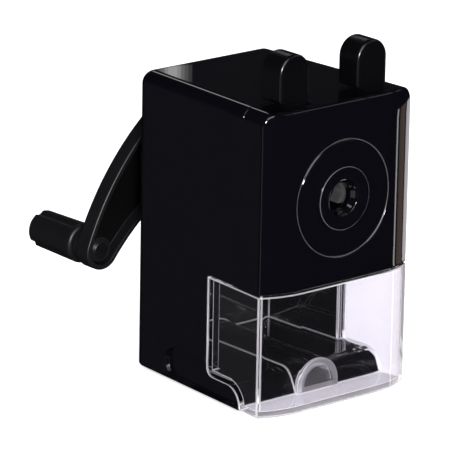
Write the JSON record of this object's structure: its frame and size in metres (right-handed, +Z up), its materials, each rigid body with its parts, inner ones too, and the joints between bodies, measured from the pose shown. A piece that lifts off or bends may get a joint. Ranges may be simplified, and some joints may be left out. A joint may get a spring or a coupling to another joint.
{
  "type": "crank pencil sharpener",
  "caption": "Self-feeding desk pencil sharpener: tapered gloss body, pull-out head with pinch tabs, clear shavings drawer, and a curved rear crank that drives a geared helical cutter.",
  "frame": {"origin": "middle of the base, on the table under the non-slip pad", "axes": "+Z up; the pencil goes in at the front, which faces -Y; the crank is at the back, +Y; +X is to the right as seen from the front"},
  "size_m": [0.0682, 0.1151, 0.1166],
  "materials": {
    "black_gloss": "polished injection-moulded black",
    "black_satin": "satin moulded black",
    "clear": "clear moulded, faint lilac tint",
    "steel": "bright ground steel",
    "nylon": "natural moulded nylon",
    "zinc": "as-cast light alloy",
    "brass": "turned",
    "rubber": "matt"
  },
  "bodies": {
    "body": {"housing": "black_gloss", "base_plate": "black_gloss", "non_slip_pad": "rubber", "bulkhead": "black_satin", "ring_gear": "nylon", "shaft_bush": "brass", "left_return_spring": "steel", "right_return_spring": "steel"},
    "crank": {"crank_arm": "black_satin", "drive_shaft": "steel", "crank_screw": "steel", "knob_pin": "steel", "cutter_carrier": "zinc", "cutter_axle": "steel"},
    "cutter": {"helical_cutter": "steel", "cutter_pinion": "nylon"},
    "handle": {"knob": "black_satin"},
    "head": {"head_shell": "black_gloss", "head_back_plate": "black_satin", "pencil_guide": "black_gloss", "left_guide_rod": "steel", "right_guide_rod": "steel", "left_rod_clip": "steel", "right_rod_clip": "steel", "left_jaw_pin": "steel", "right_jaw_pin": "steel", "jaw_spring": "steel"},
    "left_lever": {"left_jaw_lever": "black_satin", "left_jaw": "steel"},
    "right_lever": {"right_jaw_lever": "black_satin", "right_jaw": "steel"},
    "tray": {"drawer": "clear"}
  },
  "joints": [
    {"name": "crank_turn", "type": "hinge", "parent": "body", "child": "crank", "pos_m": [0, 0, 0.069], "axis": [0, 1, 0], "continuous": true},
    {"name": "cutter_spin", "type": "hinge", "parent": "crank", "child": "cutter", "pos_m": [0, 0.038, 0.069], "axis": [-0.141, 0.9799, 0.141], "continuous": true},
    {"name": "knob_spin", "type": "hinge", "parent": "crank", "child": "handle", "pos_m": [-0.0306, 0.06, 0.0369], "axis": [0, 1, 0], "continuous": true},
    {"name": "head_pull", "type": "slide", "parent": "body", "child": "head", "axis": [0, -1, 0], "range_m": [0, 0.026], "stiffness_N_per_m": 120, "springref_m": -0.05, "deforming": ["left_return_spring", "right_return_spring"]},
    {"name": "left_jaw_squeeze", "type": "hinge", "parent": "head", "child": "left_lever", "pos_m": [-0.016, -0.0295, 0.09], "axis": [0, 1, 0], "range_deg": [0, 5], "stiffness_Nm_per_rad": 0.05, "springref_deg": -28.65, "deforming": ["jaw_spring"]},
    {"name": "right_jaw_squeeze", "type": "hinge", "parent": "head", "child": "right_lever", "pos_m": [0.016, -0.0295, 0.09], "axis": [0, -1, 0], "range_deg": [0, 5], "stiffness_Nm_per_rad": 0.05, "springref_deg": -28.65, "deforming": ["jaw_spring"]},
    {"name": "drawer_slide", "type": "slide", "parent": "body", "child": "tray", "axis": [0, -1, 0], "range_m": [0, 0.055]}
  ],
  "couplings": [
    {"joint": "cutter_spin", "follows": "crank_turn", "ratio": -3.375},
    {"joint": "right_jaw_squeeze", "follows": "left_jaw_squeeze", "ratio": 1}
  ]
}
